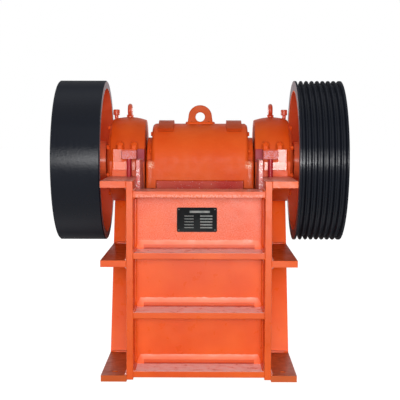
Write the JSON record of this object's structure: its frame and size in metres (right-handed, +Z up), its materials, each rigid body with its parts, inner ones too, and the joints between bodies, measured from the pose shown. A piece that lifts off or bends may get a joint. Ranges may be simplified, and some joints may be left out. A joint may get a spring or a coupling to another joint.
{
  "type": "jaw crusher",
  "caption": "Small single-toggle jaw crusher: welded ribbed frame, swing jaw on an eccentric shaft in capped bearing housings, plain flywheel at one end and grooved belt sheave at the other.",
  "frame": {"origin": "centre of the four foundation bolts, in the plane of the feet", "axes": "+X along the eccentric shaft towards the belt sheave, -Y towards the feed side, +Z up"},
  "size_m": [1.315, 1.0603, 1.28],
  "materials": {
    "frame_paint": "glossy orange-red machine enamel",
    "wheel_paint": "glossy black enamel on cast iron",
    "turned_steel": "turned, oiled",
    "manganese_steel": "rough casting with sprayed paint",
    "cast_iron": "painted casting",
    "nameplate_metal": "black lacquered sheet",
    "bolt_steel": "painted over with the machine enamel",
    "spring_steel": "black oxide"
  },
  "bodies": {
    "root": {"adjusting_block": "cast_iron", "bearing_bolts": "bolt_steel", "bearing_cap_left": "frame_paint", "bearing_cap_right": "frame_paint", "bearing_end_cover_left": "frame_paint", "bearing_end_cover_right": "frame_paint", "bearing_ledge_left": "frame_paint", "bearing_ledge_right": "frame_paint", "bearing_pedestal_left": "frame_paint", "bearing_pedestal_right": "frame_paint", "cap_eyebolts": "frame_paint", "cheek_plate_left": "manganese_steel", "cheek_plate_right": "manganese_steel", "fixed_jaw_plate": "manganese_steel", "foot_flange_left": "frame_paint", "foot_flange_right": "frame_paint", "front_ribs": "frame_paint", "front_wall": "frame_paint", "middle_rib_left": "frame_paint", "middle_rib_right": "frame_paint", "nameplate": "nameplate_metal", "oil_cups": "frame_paint", "rear_ribs": "frame_paint", "rear_wall": "frame_paint", "rod_nuts": "bolt_steel", "rod_washers": "bolt_steel", "shim_pack": "bolt_steel", "side_plate_left": "frame_paint", "side_plate_right": "frame_paint", "side_webs_left": "frame_paint", "side_webs_right": "frame_paint", "tension_rod": "bolt_steel", "tension_spring": "spring_steel", "toggle_plate": "cast_iron"},
    "rotor": {"eccentric_shaft": "turned_steel", "flywheel": "wheel_paint", "sheave": "wheel_paint", "shaft_end_plates": "wheel_paint"},
    "jaw": {"swing_jaw": "frame_paint", "moving_jaw_plate": "manganese_steel", "jaw_wedge": "frame_paint", "lifting_lug": "frame_paint", "head_covers": "frame_paint", "jaw_toggle_seat": "manganese_steel", "rod_pin": "turned_steel"}
  },
  "joints": [
    {"name": "rotor_spin", "type": "hinge", "parent": "root", "child": "rotor", "pos_m": [0, 0.17, 0.905], "axis": [1, 0, 0], "continuous": true},
    {"name": "jaw_on_eccentric", "type": "hinge", "parent": "rotor", "child": "jaw", "pos_m": [0, 0.17, 0.895], "axis": [1, 0, 0], "continuous": true}
  ],
  "couplings": [
    {"joint": "jaw_on_eccentric", "follows": "rotor_spin", "ratio": -1}
  ]
}
